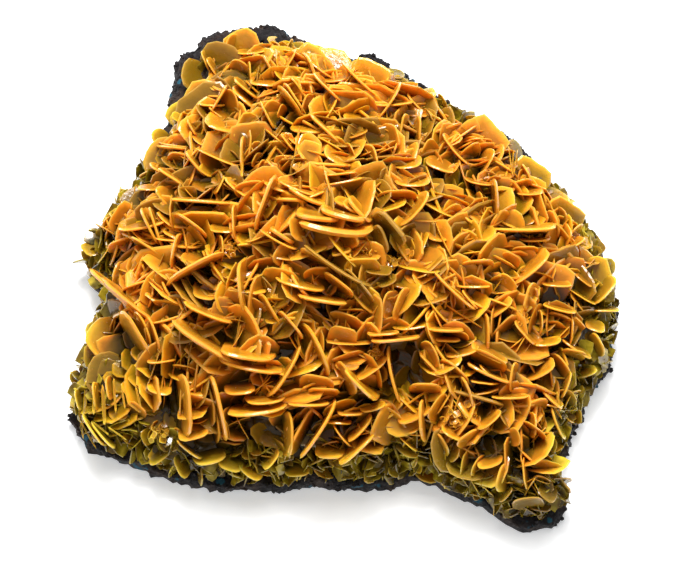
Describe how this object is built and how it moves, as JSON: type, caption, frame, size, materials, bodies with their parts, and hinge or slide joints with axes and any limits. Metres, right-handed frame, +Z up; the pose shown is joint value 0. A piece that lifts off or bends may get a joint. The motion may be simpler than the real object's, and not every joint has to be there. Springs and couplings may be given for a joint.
{
  "type": "wulfenite specimen",
  "caption": "Mineral specimen: a crust of thin orange tabular crystals standing on edge over a flat-backed dark rock matrix.",
  "frame": {"origin": "on the flat cut back that the specimen rests on, under the middle of its outline", "axes": "+Z up out of the crystal crust, +Y towards the bare rock edge at the far side, +X to the right as it is looked at"},
  "size_m": [0.1126, 0.1113, 0.04],
  "materials": {
    "limonite": "rough dark brown-black rock",
    "wulfenite": "resinous translucent orange-yellow crystal"
  },
  "bodies": {
    "root": {"matrix": "limonite", "wulfenite_plates": "wulfenite"}
  },
  "joints": []
}
